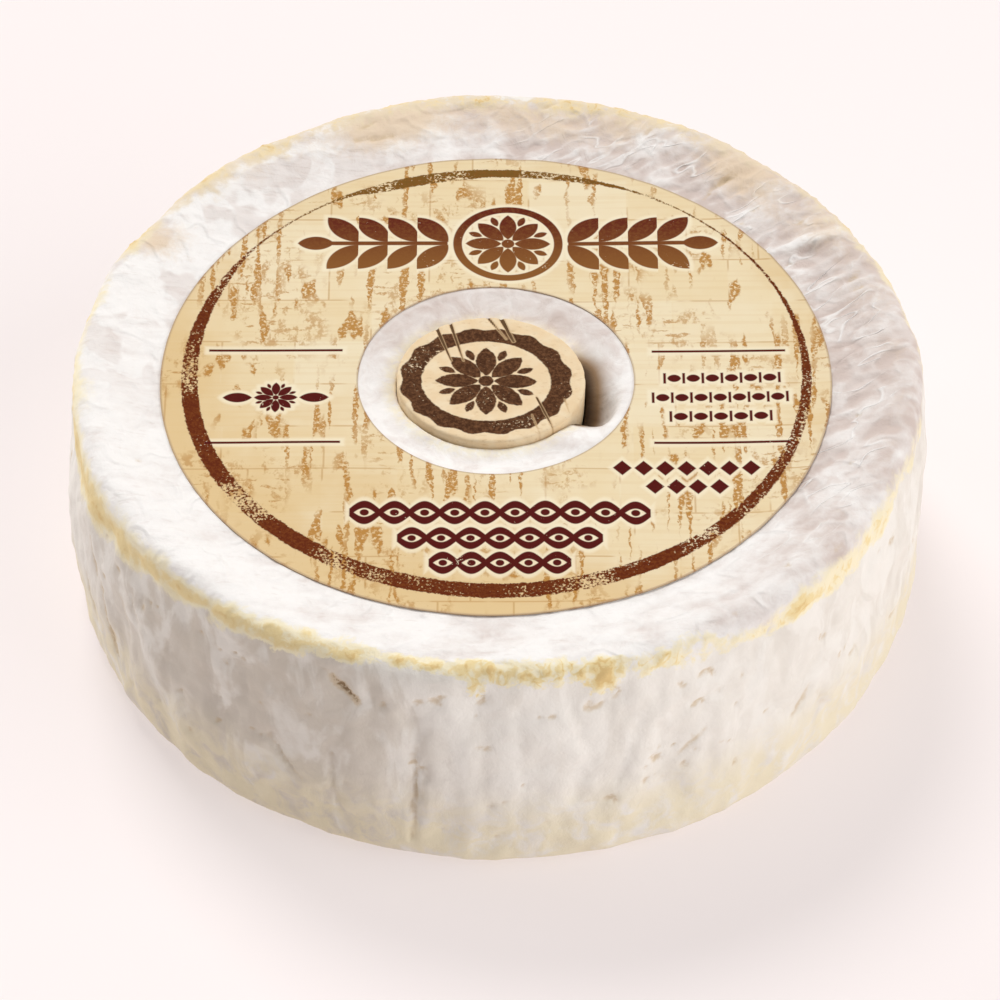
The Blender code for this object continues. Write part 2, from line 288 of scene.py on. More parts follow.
def alongEdge(points):  # distance down the outline from the crest of the rim, in millimetres
    radius, height = np.hypot(points[:, 0], points[:, 1]), points[:, 2]
    onRound = wheel["topRound"] * (math.pi / 2 - np.arctan2(height - rimTurn, radius - flatTop))
    onSide = wheel["topRound"] * math.pi / 2 + rimTurn - height
    along = np.where(height < rimTurn, onSide, onRound)
    return np.where((height > rimTurn) & (radius < flatTop), radius - flatTop, along) / mm


def fitToFrame(piece):
    mesh, w = piece.data, wheel
    middle = np.array(corkMatrix.translation)[:2]
    points = readPoints(mesh)
    radius = np.hypot(points[:, 0], points[:, 1])
    near = 1 - softStep(*w["shifted"], radius)
    points[:, :2] += middle * near[:, None]
    inSocket = (radius < w["socketWithin"][0]) & (points[:, 2] < w["socketWithin"][1])
    fromCork = points[:, :2] - middle
    reach, turn = np.hypot(*fromCork.T), np.arctan2(fromCork[:, 1], fromCork[:, 0])
    brim = ~inSocket & (reach < w["socketBrim"])
    points[brim, :2] = middle + fromCork[brim] * (w["socketBrim"] / reach[brim])[:, None]
    writePoints(mesh, points)
    groups = {"top": (radius < 48 * mm) & (points[:, 2] > 31 * mm) & ~inSocket, "outside": ~inSocket}
    groups["edge"] = groups["outside"] & ~groups["top"]
    for name, members in groups.items():
        piece.vertex_groups.new(name=name).add(np.flatnonzero(members).tolist(), 1.0, "REPLACE")
    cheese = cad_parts["cheese"]
    applyModifier(
        piece, "SHRINKWRAP", target=cheese, wrap_method="PROJECT", use_project_z=True,
        use_positive_direction=True, use_negative_direction=True, vertex_group="top",
    )
    applyModifier(piece, "SHRINKWRAP", target=cheese, wrap_method="NEAREST_SURFACEPOINT", vertex_group="edge")
    points = readPoints(mesh)
    points[brim, :2] = middle + fromCork[brim]
    lip = brim & (reach < w["socket"] + 0.05 * mm)
    points[inSocket, 2] += np.interp(turn[inSocket], turn[lip], points[lip, 2] - w["height"], period=math.tau)
    writePoints(mesh, points)
    applyModifier(piece, "SMOOTH", factor=0.5, iterations=5, vertex_group="outside")
    return inSocket


def fromLine(x, y, startX, startY, endX, endY):  # each point's share of the way along a line, and distance from it
    span = np.array([endX - startX, endY - startY])
    share = np.clip(((x - startX) * span[0] + (y - startY) * span[1]) / (span @ span), 0, 1)
    return share, np.hypot(x - startX - share * span[0], y - startY - share * span[1])


def lineField(x, y, lines):  # how deep and how dark a set of short lines makes each point
    depth, dark = np.zeros(len(x)), np.zeros(len(x))
    for *ends, deep, halfWidth, darkness in lines:
        share, apart = fromLine(x, y, *ends)
        dent = np.exp(-((apart / halfWidth) ** 2)) * np.sin(np.pi * np.clip(share, 0.15, 0.85)) ** 0.5
        depth, dark = np.maximum(depth, deep * dent), np.maximum(dark, darkness * dent)
    return depth, dark


def scatter(draw, count, *ranges):  # rows of random numbers, one from each range
    return [tuple(draw.uniform(*limits) for limits in ranges) for _ in range(count)]


def sideMarks(draw, turn, height):  # creases, pits and curls of the side: those listed, then scattered ones
    creases = sideCreases + [
        (start, top, start + drift, top - length, 0.45 * size, 0.3 + 0.5 * size, darkness)
        for start, top, length, size, drift, darkness in scatter(
            draw, 34, (-50, 190), (9, 26), (3, 9), (0.3, 0.9), (-4, 4), (0, 0.5)
        )
    ]
    pits = sidePits + scatter(draw, 90, (-180, 180), (6, 29), (0.25, 0.5), (0.2, 0.8))
    curls = sideCurls + scatter(draw, 26, (-50, 200), (9, 29), (0.3, 0.8), (0.3, 0.6))
    reach = wheel["topEdge"] / mm * math.radians(1)  # millimetres of side to a degree
    curlWidth, curlDepth, pitDepth = 0.42, 0.25, 0.35
    depth, dark = np.zeros(len(turn)), np.zeros(len(turn))
    for curlTurn, curlHeight, size, darkness in curls:
        across, above = offTurn(turn, curlTurn) * reach, height - curlHeight
        arc = np.exp(-(((np.hypot(across, above) - size) / curlWidth) ** 2))
        arc *= softStep(-0.7, 0.5, np.cos(np.arctan2(above, across) - draw.uniform(0, math.tau)))
        depth, dark = np.maximum(depth, curlDepth * arc), np.maximum(dark, darkness * arc)
    marks = creases + [(t, h, t + 0.1, h, pitDepth, wide, darkness) for t, h, wide, darkness in pits]
    for startTurn, startHeight, endTurn, endHeight, deep, halfWidth, darkness in marks:
        across = offTurn(turn, startTurn) * reach
        line = (0, startHeight, (endTurn - startTurn) * reach, endHeight, deep, halfWidth, darkness)
        markDepth, markDark = lineField(across, height, [line])
        depth, dark = np.maximum(depth, markDepth), np.maximum(dark, markDark)
    return depth, dark


def crustField(points, turn, along):
    wander = unevenness(points, 3.2 * mm, 4.0, 3)
    crumbs = unevenness(points, 1.1 * mm, 1.0, 3)
    breaks = unevenness(points, 3.6 * mm, 11.0, 3)
    behind = np.clip(np.sin(np.radians(turn)), 0, 1)
    middle, width, strength = (byTurn(turn, [(c[0], c[i]) for c in crustLine]) for i in (1, 2, 3))
    middle = middle + 0.8 * wander - 0.9 * behind
    width = width * (byTurn(turn, crustSpread) + 0.45 * breaks) * (1 + 0.8 * behind * (along > middle))
    crust = strength * np.exp(-np.abs((along - middle) / width) ** 2.0)
    for dripTurn, length, halfWidth, dripStrength in crustDrips:
        across = offTurn(turn, dripTurn) * 0.93 + 0.6 * wander
        down = np.clip((along - middle) / length, 0, None)
        drip = dripStrength * np.exp(-((across / halfWidth) ** 2) - down ** 4) * softStep(-1.5, 0.5, along - middle)
        crust = np.maximum(crust, drip)
    crust *= 0.98 + 0.55 * (crumbs + breaks) * byTurn(turn, crustBreaks)
    return np.clip(crust, 0, 1.2), crumbs, softStep(-0.4, 1.3, along - middle + 0.4 * crumbs)


def pocketShade(x, y):  # painted shade on the rind that runs down to the cork on its right, deepest as a painted shadow beside the cork
    middle = np.array(corkMatrix.translation)[:2] / mm
    turn = np.degrees(np.arctan2(y - middle[1], x - middle[0]))
    fromCork = np.clip(np.hypot(x - middle[0], y - middle[1]) - 11.6, 0, None)
    return softStep(46, 14, turn) * softStep(-38, -30, turn) * np.exp(-((fromCork / 2.3) ** 1.6))


def sculptRind(piece, along, inSocket):
    mesh = piece.data
    draw = random.Random(wheel["seed"])
    points, normals = readPoints(mesh), readPoints(mesh, "normal")
    x, y, z = points.T / mm
    radius, turn = np.hypot(x, y), np.degrees(np.arctan2(y, x))
    onSide = softStep(2.0, 5.0, along)
    onTop = 1 - softStep(-1.0, 3.0, along)
    bareTop = onTop * np.maximum(softStep(39.5, 42.5, radius), 1 - softStep(15.8, 17.6, radius))
    shows = np.clip(bareTop + softStep(-1.0, 3.0, along), 0, 1) * ~inSocket
    aboveBase = softStep(0.2, 2.5, z)
    grey = byTurn(turn, topGrey) * softStep(20, 40, radius)

    lumps = unevenness(points, 7 * mm, 2.0, 3)
    fuzz = unevenness(points, 1.4 * mm, 8.0, 3)
    lean = np.radians(byTurn(turn, topGrain))
    run, over = x * np.cos(lean) + y * np.sin(lean), y * np.cos(lean) - x * np.sin(lean)
    wrinkles = 1 - 2.4 * np.abs(unevenness(np.stack([run / 6.5, over / 2.4, z / 6.0], 1), 1.0, 3.0, 2))
    ridges = 1 - 2.6 * np.abs(unevenness(points, 4.2 * mm, 21.0, 2))
    upright = unevenness(np.stack([turn / 3.2, z / 9.0, radius / 40], 1), 1.0, 6.0, 2)
    topRelief = (0.14 + 0.2 * grey) * lumps + (0.03 + 0.24 * grey) * wrinkles + (0.04 + 0.08 * grey) * ridges
    sideRelief = 0.42 * lumps + 0.18 * upright + 0.04 * ridges
    hugging = np.exp(-((np.clip(radius - 12.5, 0, None) / 1.8) ** 2)) * softStep(-2, -11, y) * ~inSocket
    points[:, 2] += 0.95 * mm * hugging
    raised = (sideRelief * onSide + topRelief * bareTop + 0.05 * fuzz * shows) * aboveBase

    crust, crumbs, under = crustField(points, turn, along)
    raised += crust * (0.12 + 0.22 * crumbs) * aboveBase * np.clip(0.3 + 0.6 * byTurn(turn, crustBreaks), 0, 1)
    bend = unevenness(points, 3 * mm, 17.0, 2)
    sideDepth, sideDark = sideMarks(draw, turn + 0.6 * bend + 0.12 * fuzz, z + 0.5 * bend + 0.12 * fuzz)
    topDepth, topDark = lineField(x + 0.3 * fuzz, y + 0.3 * fuzz, topCreases)
    raised -= sideDepth * onSide * aboveBase + topDepth * bareTop
    *foldLine, foldHeight, foldWidth = topFold
    fold, _ = lineField(x, y + 0.8 * lumps, [(*foldLine, foldHeight, foldWidth, 0)])
    raised += fold * bareTop

    points += normals * ((raised + wheel["labelSeat"] / mm * onTop * (radius > 16)) * mm)[:, None]
    # painted shade and painted shadow beside the cork, kept as a mask for the rind's colour
    hollow = pocketShade(x, y) * (radius < 18)
    points = hugCork(points, inSocket)
    low, high = (np.array(corner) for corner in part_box("cheese"))
    writePoints(mesh, np.clip(points, low, high))
    broad = unevenness(points, 9 * mm, 13.0, 3)
    # shade holds painted shade and a painted highlight: dips of the relief are greyed, the fold's crest is whitened;
    # grey and broad are the top's own tone
    dips = np.clip(-wrinkles, -1, 1) * 0.55 + np.clip(-lumps, -1, 1) * 0.6 + np.clip(-ridges, -1, 1) * 0.2
    shade = grey * 0.92 + (0.14 + 0.44 * grey) * dips + (0.16 + 0.2 * grey) * broad - 1.3 * fold
    tan = byTurn(turn, tanPatches) * np.exp(-(((along + 0.9) / 4.2) ** 2)) * (1.05 + 0.9 * broad + 0.4 * lumps)
    masks = {
        "along": along, "crust": crust, "shade": np.clip(shade, 0, 1), "tan": np.clip(tan, 0, 1), "hollow": hollow,
        "under": under, "bright": byTurn(turn, sideLightTone),
        "dark": np.maximum(sideDark * onSide, topDark * bareTop), "upright": np.clip(0.5 + upright, 0, 1),
    }
    for name, values in masks.items():
        saveMask(mesh, name, values)


def hugCork(points, inSocket):  # the rind closes round the cork, whose axis leans
    into, outOf = np.array(corkMatrix.inverted()), np.array(corkMatrix)
    local = points @ into[:3, :3].T + into[:3, 3]
    fromAxis = np.hypot(local[:, 0], local[:, 1])
    share = np.where((fromAxis < wheel["socket"]) | inSocket, wheel["socket"] / np.maximum(fromAxis, 1e-6), 1.0)
    local[:, :2] *= share[:, None]
    return local @ outOf[:3, :3].T + outOf[:3, 3]


def makeRind():
    piece = extrudeRings("rind", wheelOutline(), wheel["segments"])
    along = alongEdge(readPoints(piece.data))
    inSocket = fitToFrame(piece)
    sculptRind(piece, along, inSocket)
    smoothShade(piece)
    print("rind modelled:", len(piece.data.polygons), "faces")
    return piece


# The paper ring

label = {
    "outer": 41.3 * mm,
    "inner": 17.0 * mm,
    "centre": (0.0, -0.1 * mm),
    "segments": 360,
    "thickness": 0.14 * mm,
    "aboveRind": 0.03 * mm,
    "curl": 0.12 * mm,  # how far its right and front edge has come up
}


def makeLabel(rind):
    start = [(label["outer"], 40 * mm)]
    rowsTo(start, (label["inner"], 40 * mm), 0.8 * mm)
    piece = extrudeRings("paper_ring", start, label["segments"], filled=False)
    points = readPoints(piece.data)
    points[:, :2] += label["centre"]
    writePoints(piece.data, points)
    applyModifier(
        piece, "SHRINKWRAP", target=rind, wrap_method="PROJECT", use_project_z=True,
        use_negative_direction=True, use_positive_direction=False, offset=label["aboveRind"],
    )
    applyModifier(piece, "SMOOTH", factor=0.5, iterations=8, use_x=False, use_y=False, use_z=True)
    points = readPoints(piece.data)
    fromCentre = np.hypot(*(points[:, :2] - label["centre"]).T)
    facing = softStep(-0.3, 1.0, (points[:, 0] - points[:, 1]) / label["outer"] / 1.4)
    points[:, 2] += label["curl"] * facing * softStep(0.96, 1.0, fromCentre / label["outer"])
    writePoints(piece.data, points)
    bpy.ops.object.mode_set(mode="EDIT")
    bpy.ops.mesh.select_all(action="SELECT")
    bpy.ops.mesh.normals_make_consistent(inside=False)
    bpy.ops.object.mode_set(mode="OBJECT")
    if sum(face.normal.z for face in piece.data.polygons) < 0:
        piece.data.flip_normals()
    applyModifier(piece, "SOLIDIFY", thickness=label["thickness"], offset=1.0)
    smoothShade(piece)
    bpy.ops.object.shade_smooth_by_angle(angle=math.radians(50))
    print("paper ring modelled:", len(piece.data.polygons), "faces")
    return piece


# The cork

cork = {
    "radius": 11.6 * mm,
    "length": 12.0 * mm,
    "segments": 300,
    "rimRound": 0.3 * mm,
    "seed": 5,
}
corkCracks = [  # from and to on the upper face, in millimetres, then half width and how dark
    (-7.0, 10.2, -4.9, 3.2, 0.2, 1.0), (-5.2, 10.9, -3.4, 3.2, 0.2, 0.8), (-0.4, 11.5, 1.9, 7.4, 0.2, 0.7),
    (1.2, 11.5, 2.8, 7.0, 0.26, 1.0), (5.6, -3.4, 7.6, -9.0, 0.18, 0.8), (5.0, -6.6, 6.0, -10.2, 0.16, 0.5),
    (9.0, -3.6, 9.6, -6.2, 0.16, 0.4),
]


def corkOutline():
    radius, length, rimRound = cork["radius"], cork["length"], cork["rimRound"]
    points = [(radius - 0.5 * mm, -length), (radius, 0.5 * mm - length)]
    rowsTo(points, (radius, -4 * mm), 3 * mm)
    rowsTo(points, (radius, -rimRound), 0.3 * mm)
    points += arcPoints(radius - rimRound, -rimRound, rimRound, 0, 90, 4)[1:]
    rowsTo(points, (0.4 * mm, 0.0), 0.22 * mm)
    return points


def makeCork():
    piece = extrudeRings("stopper", corkOutline(), cork["segments"])
    mesh = piece.data
    points, normals = readPoints(mesh), readPoints(mesh, "normal")
    x, y, z = points.T / mm
    upper = softStep(-3.5, -2.0, z)
    draw = random.Random(cork["seed"])
    grain = unevenness(points, 2.2 * mm, 5.0, 4)
    lowered = 0.035 * grain * upper
    crack = np.zeros(len(x))
    for *ends, halfWidth, darkness in corkCracks:
        share, apart = fromLine(x, y, *ends)
        dent = np.exp(-(((apart + 0.05 * grain) / halfWidth) ** 2))
        crack = np.maximum(crack, darkness * dent * (1 - 0.5 * share))
    pit = np.zeros(len(x))
    for area, turn, halfWidth, stretch, deep in scatter(
        draw, 34, (0, 1), (0, math.tau), (0.12, 0.28), (1.0, 2.4), (0.3, 1.0)
    ):
        reach = 11.4 * math.sqrt(area)
        spot = ((x - reach * math.cos(turn)) / stretch) ** 2 + (y - reach * math.sin(turn)) ** 2
        pit = np.maximum(pit, np.exp(-spot / halfWidth ** 2) * deep)
    lowered -= (0.22 * crack + 0.14 * pit) * upper * softStep(-0.5, -0.1, z)
    rim = softStep(-2.0, -0.3, z) * softStep(11.0, 11.5, np.hypot(x, y))
    lowered -= 0.16 * rim * np.clip(unevenness(points, 1.6 * mm, 9.0, 2), 0, 1)
    points += normals * (lowered * mm)[:, None]
    matrix = np.array(corkMatrix)
    writePoints(mesh, points @ matrix[:3, :3].T + matrix[:3, 3])
    saveMask(mesh, "crack", crack)
    saveMask(mesh, "pit", pit)
    smoothShade(piece)
    print("cork modelled:", len(mesh.polygons), "faces")
    return piece


# Shader nodes, with short sums: a Wire is one number on its way through a node tree

class Wire:
    def __init__(self, tree, socket):
        self.tree, self.socket = tree, socket

    def calc(self, operation, *others):
        node = self.tree.nodes.new("ShaderNodeMath")
        node.operation = operation
        for socket, value in zip(node.inputs, (self, *others)):
            feed(self.tree, socket, value)
        return Wire(self.tree, node.outputs[0])

    def __rsub__(self, other):
        return self * -1 + other

    __add__ = __radd__ = partialmethod(calc, "ADD")
    __sub__ = partialmethod(calc, "SUBTRACT")
    __mul__ = __rmul__ = partialmethod(calc, "MULTIPLY")
    __truediv__ = partialmethod(calc, "DIVIDE")
    __abs__ = partialmethod(calc, "ABSOLUTE")
    least = partialmethod(calc, "MINIMUM")
    most = partialmethod(calc, "MAXIMUM")

    def soft(self, low, high):  # 0 at low, 1 at high, smooth between
        limits = {"Value": self, "From Min": low, "From Max": high}
        return wiresOf(self.tree, "MapRange", limits, interpolation_type="SMOOTHSTEP")[0]


def feed(tree, socket, value):
    if isinstance(value, Wire):
        value = value.socket
    if isinstance(value, bpy.types.NodeSocket):
        tree.links.new(value, socket)
    else:
        socket.default_value = value


def addNode(tree, kind, inputs=None, **settings):
    node = tree.nodes.new("ShaderNode" + kind)
    for key, value in settings.items():
        setattr(node, key, value)
    for key, value in (inputs or {}).items():
        feed(tree, node.inputs[key], value)
    return node


def wiresOf(tree, kind, inputs=None, **settings):  # what a new node gives out
    return [Wire(tree, socket) for socket in addNode(tree, kind, inputs, **settings).outputs]


def placeIn(tree, turn=0, scale=None, shift=(0, 0, 0)):  # the piece's own place in millimetres, turned, then scaled
    spot = addNode(tree, "TexCoord").outputs["Object"]
    node = addNode(tree, "Mapping", {"Vector": spot, "Rotation": (0, 0, math.radians(turn)), "Scale": (1000,) * 3})
    if scale:
        node = addNode(tree, "Mapping", {"Vector": node.outputs[0], "Location": shift, "Scale": scale})
    return node.outputs[0]


def noiseOf(tree, vector, scale, detail=3, rough=0.5, twist=0):
    inputs = {"Vector": vector, "Scale": scale, "Detail": detail, "Roughness": rough, "Distortion": twist}
    return wiresOf(tree, "TexNoise", inputs)[0]


def stretchedNoise(tree, scale, detail, rough, twist=0, turn=0, shift=(0, 0, 0)):
    return noiseOf(tree, placeIn(tree, turn, scale, shift), 1, detail, rough, twist)


def mask(tree, name):
    return Wire(tree, addNode(tree, "Attribute", attribute_name=name).outputs["Fac"])


def mixColour(tree, share, first, second):
    node = addNode(tree, "Mix", data_type="RGBA")
    feed(tree, node.inputs[0], share)
    for socket, colour in ((node.inputs[6], first), (node.inputs[7], second)):
        feed(tree, socket, (*colour, 1) if isinstance(colour, tuple) else colour)
    return node.outputs[2]


class Coat:  # a colour that is painted over, layer by layer, with colours named in a look
    def __init__(self, tree, look, first):
        self.tree, self.look, self.colour = tree, look, look[first]

    def over(self, share, paint):
        paint = self.look[paint] if isinstance(paint, str) else paint
        self.colour = mixColour(self.tree, share, self.colour, paint)


def newGroup(name, inputs, outputs):  # inputs come with the number they start at, or None for a vector
    tree = bpy.data.node_groups.new(name, "ShaderNodeTree")
    for socketName, start in inputs.items():
        kind = "NodeSocketVector" if start is None else "NodeSocketFloat"
        socket = tree.interface.new_socket(socketName, in_out="INPUT", socket_type=kind)
        if start is not None:
            socket.default_value = start
    for socketName in outputs:
        tree.interface.new_socket(socketName, in_out="OUTPUT", socket_type="NodeSocketFloat")
    given, out = tree.nodes.new("NodeGroupInput"), tree.nodes.new("NodeGroupOutput")
    return tree, [Wire(tree, given.outputs[socketName]) for socketName in inputs], out


def useGroup(tree, group, inputs):
    return wiresOf(tree, "Group", inputs, node_tree=group)


def hyp(a, b):
    return (a * a + b * b).calc("SQRT")


def bar(x, y, halfWidth, halfHeight):  # shapes give the distance to their edge, negative inside
    return (abs(x) - halfWidth).most(abs(y) - halfHeight)


def lozenge(x, y, halfWidth, halfHeight):
    return (abs(x) / halfWidth + abs(y) / halfHeight - 1) * (min(halfWidth, halfHeight) * 0.8)


def leaf(x, y, halfLength, halfWidth):  # two arcs that meet at the tips
    arcRadius = (halfLength ** 2 + halfWidth ** 2) / (2 * halfWidth)
    return hyp(x, abs(y) + (arcRadius - halfWidth)) - arcRadius


def turned(x, y, degrees):
    c, s = math.cos(math.radians(degrees)), math.sin(math.radians(degrees))
    return x * c + y * s, y * c - x * s


def leastOf(shapes):  # all the shapes together
    return reduce(Wire.least, shapes)


def inRow(x, pitch, count):  # x within one of count places, pitch apart and centred
    shift = 0 if count % 2 else pitch / 2
    most = (count - 1) / 2
    step = ((x - shift) / pitch).calc("ROUND") * pitch + shift
    return x - step.least(most * pitch).most(-most * pitch)


def aroundMiddle(x, y, count):  # folds a full turn onto one of count equal slices
    slice_ = math.tau / count
    turn = y.calc("ARCTAN2", x)
    folded = (turn + slice_ / 2).calc("FLOORED_MODULO", slice_) - slice_ / 2
    reach = hyp(x, y)
    return reach * folded.calc("COSINE"), reach * folded.calc("SINE")


# Effects that more than one material uses

def makeWornPrint():
    group, (place, shape, wear, fleckSize), out = newGroup(
        "worn print", {"Place": None, "Mask": 0, "Wear": 0.3, "Fleck Size": 0.4}, ("Mask", "Mottle")
    )
    scale = fleckSize.calc("POWER", -1)
    flecks = noiseOf(group, place, scale, 2, 0.6)
    clusters = noiseOf(group, place, scale * 0.07, 2, 0.5)
    worn = (flecks * 0.6 + clusters * 0.5 + wear * 0.3).soft(0.7, 0.8)
    feed(group, out.inputs["Mask"], shape * (1 - worn))
    feed(group, out.inputs["Mottle"], noiseOf(group, place, scale * 0.8, 3, 0.7).soft(0.38, 0.7))
    return group


def makeRosette():
    group, (x, y), out = newGroup("rosette", {"X": 0, "Y": 0}, ("Distance",))
    alongPetal, acrossPetal = aroundMiddle(x, y, 8)
    petal = leaf(alongPetal - 0.57, acrossPetal, 0.42, 0.2)
    alongSeed, acrossSeed = aroundMiddle(*turned(x, y, 22.5), 8)
    seed = leaf(alongSeed - 0.82, acrossSeed, 0.17, 0.085)
    feed(group, out.inputs["Distance"], petal.least(seed).least(hyp(x, y) - 0.15))
    return group


def makeGrain():
    group, (place, size), out = newGroup("grain", {"Place": None, "Size": 0.3}, ("Height",))
    scale = size.calc("POWER", -1)
    fine = noiseOf(group, place, scale, 4, 0.6)
    broad = noiseOf(group, place, scale * 0.3, 2, 0.5)
    feed(group, out.inputs["Height"], fine * 0.6 + broad * 0.4)
    return group


def newMaterial(name, **values):
    material = bpy.data.materials.new(name)
    material.use_nodes = True
    shader = material.node_tree.nodes["Principled BSDF"]
    for key, value in values.items():
        shader.inputs[key.replace("_", " ")].default_value = value
    return material, material.node_tree, shader


def cover(tree, shader, colour, height, distance, strength):  # gives a material its colour and its fine relief
    feed(tree, shader.inputs["Base Color"], colour)
    bump = addNode(tree, "Bump", {"Height": height, "Distance": distance, "Strength": strength})
    feed(tree, shader.inputs["Normal"], bump.outputs[0])


rindLook = {
    "white": (0.885, 0.86, 0.838),
    "grey": (0.615, 0.515, 0.47),  # the top's own grey, and the painted shade in its dips
    "tan": (0.75, 0.59, 0.42),
    # the side in painted shade; the next colour is the side in painted light
    "sideDark": (0.65, 0.585, 0.505),
    "sideLitColour": (0.865, 0.83, 0.775),
    "vein": (0.56, 0.505, 0.44),
    "frost": (0.88, 0.85, 0.8),
    "cream": (0.81, 0.72, 0.51),  # towards the base
    "crustPale": (0.89, 0.8, 0.56),
    "crustBehind": (0.72, 0.59, 0.43),
    "crust": (0.83, 0.66, 0.33),
    "crustDeep": (0.72, 0.5, 0.21),
    "stain": (0.6, 0.45, 0.27),
    "scar": (0.3, 0.2, 0.11),
    "corkSlopeShade": (0.275, 0.17, 0.09),  # painted shade beside the cork; the next colour is the painted shadow deepest beside it
    "pocketShadow": (0.055, 0.029, 0.013),
}


def rindMaterial(grain):
    material, tree, shader = newMaterial("white rind", Roughness=0.78, Specular_IOR_Level=0.3)
    place = placeIn(tree)
    x, y, z = wiresOf(tree, "SeparateXYZ", {0: place})
    reach = hyp(x, y)
    along, crust, dark, shade, tan, hollow, upright, under, bright = (
        mask(tree, name) for name in "along crust dark shade tan hollow upright under bright".split()
    )
    speckle = noiseOf(tree, place, 1.1, 4, 0.65)
    blotches = noiseOf(tree, place, 0.3, 4, 0.6, 0.6)
    patchy, bare = blotches - 0.5, reach.soft(39, 42)  # bare is 1 where no paper covers the rind
    folds = noiseOf(tree, place, 0.2, 1.5, 0.45, 0.3)
    ridges = abs(folds - 0.5).soft(0.1, 0) * reach.soft(38, 42)

    greyness = shade + (speckle - 0.5) * 0.35 + patchy * (shade + 0.25)
    coat = Coat(tree, rindLook, "white")
    coat.over(greyness.soft(-0.06, 0.86), "grey")
    dashes = stretchedNoise(tree, (0.42, 1.5, 1), 3, 0.6)
    brushed = dashes.soft(0.52, 0.74) * blotches.soft(0.4, 0.6) * bare
    coat.over(brushed * (0.28 + shade * 0.25), "grey")
    upperLeft = (x * -1).soft(4, 22) * (y + x * 0.2).soft(-22, 2) * bare
    blush = noiseOf(tree, place, 0.15, 2.5, 0.5, 0.4).soft(0.48, 0.54) * upperLeft
    strokes = stretchedNoise(tree, (0.24, 1.7, 1), 2, 0.5).soft(0.5, 0.66)
    coat.over(blush * (0.36 + strokes * 0.18), "grey")
    wrinkles = stretchedNoise(tree, (0.12, 0.36, 0.3), 1.2, 0.4, 0.3, turn=-30)
    rightOnly = (x + y * 0.4).soft(8, 34) * along.soft(-0.2, -2) * bare
    # painted shade in a line beside each wrinkle crest, then a painted highlight on the crest itself; both also shape
    # the bump
    creaseShade = abs(wrinkles - 0.45).soft(0.06, 0) * rightOnly * blotches.soft(0.4, 0.56)
    coat.over(creaseShade * 0.34, "grey")
    crestHighlight = abs(wrinkles - 0.51).soft(0.028, 0) * rightOnly * folds.soft(0.4, 0.54)
    coat.over(crestHighlight * 0.75, "white")
    coat.over(ridges * shade.soft(0.05, 0.5) * 0.26, "white")
    coat.over((tan + (speckle - 0.5) * 0.6).soft(0.1, 0.95) * 0.85, "tan")
    # painted shade on the back wall of the bowl round the cork, with the rind's own grey blotches
    bowlShadeAndBlotches = reach.soft(18, 16) * ((y - x * 0.12).soft(-4, 13) * 0.56 + (blotches - 0.45) * 1.8)
    coat.over(bowlShadeAndBlotches, "grey")
    middle = corkMatrix.translation / mm
    byCork = hyp(x - middle.x, y - middle.y).soft(14.2, 12) * speckle.soft(0.3, 0.6)
    coat.over(byCork * 0.65, "crustPale")

    side = Coat(tree, rindLook, "sideDark")
    # painted light and shade round the side, broken by the rind's own patches
    side.over(bright + patchy * 0.6, "sideLitColour")
    marbled = stretchedNoise(tree, (0.19, 0.19, 0.09), 3, 0.55, 0.8)
    veins = abs(marbled - 0.5).soft(0.035, 0) * (1 - bright * 0.7) * blotches.soft(0.44, 0.6)
    side.over(veins * 0.3, "vein")
    # the side's own grey clouding, with painted shade in its upright grooves
    cloudAndGrooveShade = (marbled * 0.7 + (1 - upright) * 0.3).soft(0.52, 0.74) * (1 - bright * 0.75)
    side.over(cloudAndGrooveShade * 0.55, "vein")
    frost = (marbled - z * 0.004 + speckle * 0.12).soft(0.52, 0.34)
    side.over(frost * 0.6, "frost")
    low = z.soft(17, 6) * blotches.soft(0.3, 0.58)
    side.over(low * 0.8, "cream")
    coat.over(under.most(along.soft(4.5, 7)), side.colour)

    smoother = 1 - x.soft(14, 32) * 0.5
    rough = ((x + abs(y) * 0.3).soft(-24, -4) * 0.9 + 0.5) * crust.soft(0, 0.2) * smoother
    crumbly = crust + (noiseOf(tree, place, 0.95, 3, 0.6, 0.9) - 0.5) * rough
    toBack = y.soft(5, 35)
    paleCrust = Coat(tree, rindLook, "crustPale")
    paleCrust.over(toBack * 0.8, "crustBehind")
    coat.over(crumbly.soft(0.08, 0.36 + (1 - under) * 0.32) * 0.9, paleCrust.colour)
    curls = abs(noiseOf(tree, place, 0.3, 1.5, 0.5, 1) - 0.5).soft(0.06, 0) * (x + y * 0.2).soft(-30, -8)
    crumbly = crumbly + (under - 0.5) * 0.35 + patchy * 0.5 + curls * smoother * 0.4
    crumbly = crumbly - x.soft(-30, -8) * 0.12
    coat.over(crumbly.soft(0.5, 0.9) * (0.85 - toBack * 0.4), "crust")
    coat.over(crumbly.soft(0.95, 1.35) * 0.8, "crustDeep")
    dark = dark * (speckle.soft(0.3, 0.62) * 0.65 + 0.55)
    coat.over(dark.soft(0.05, 0.5) * 0.62, "stain")
    coat.over(dark.soft(0.48, 0.95), "scar")
    # painted shade, then painted shadow, where the rind runs down to the cork on its right
    coat.over(hollow.soft(0.02, 0.62), "corkSlopeShade")
    coat.over(hollow.soft(0.45, 0.95), "pocketShadow")

    fine = useGroup(tree, grain, {"Place": place, "Size": 0.45})[0]
    onTop = along.soft(4, 0)
    relief = fine * 0.6 + ridges * (onTop * 0.8 + 0.1) + patchy * (onTop + 0.8)
    relief = relief - brushed * 0.12 - creaseShade * 0.5 + crestHighlight * 0.7 - blush * strokes * 0.15
    cover(tree, shader, coat.colour, relief, 0.2 * mm, 0.7)
    return material


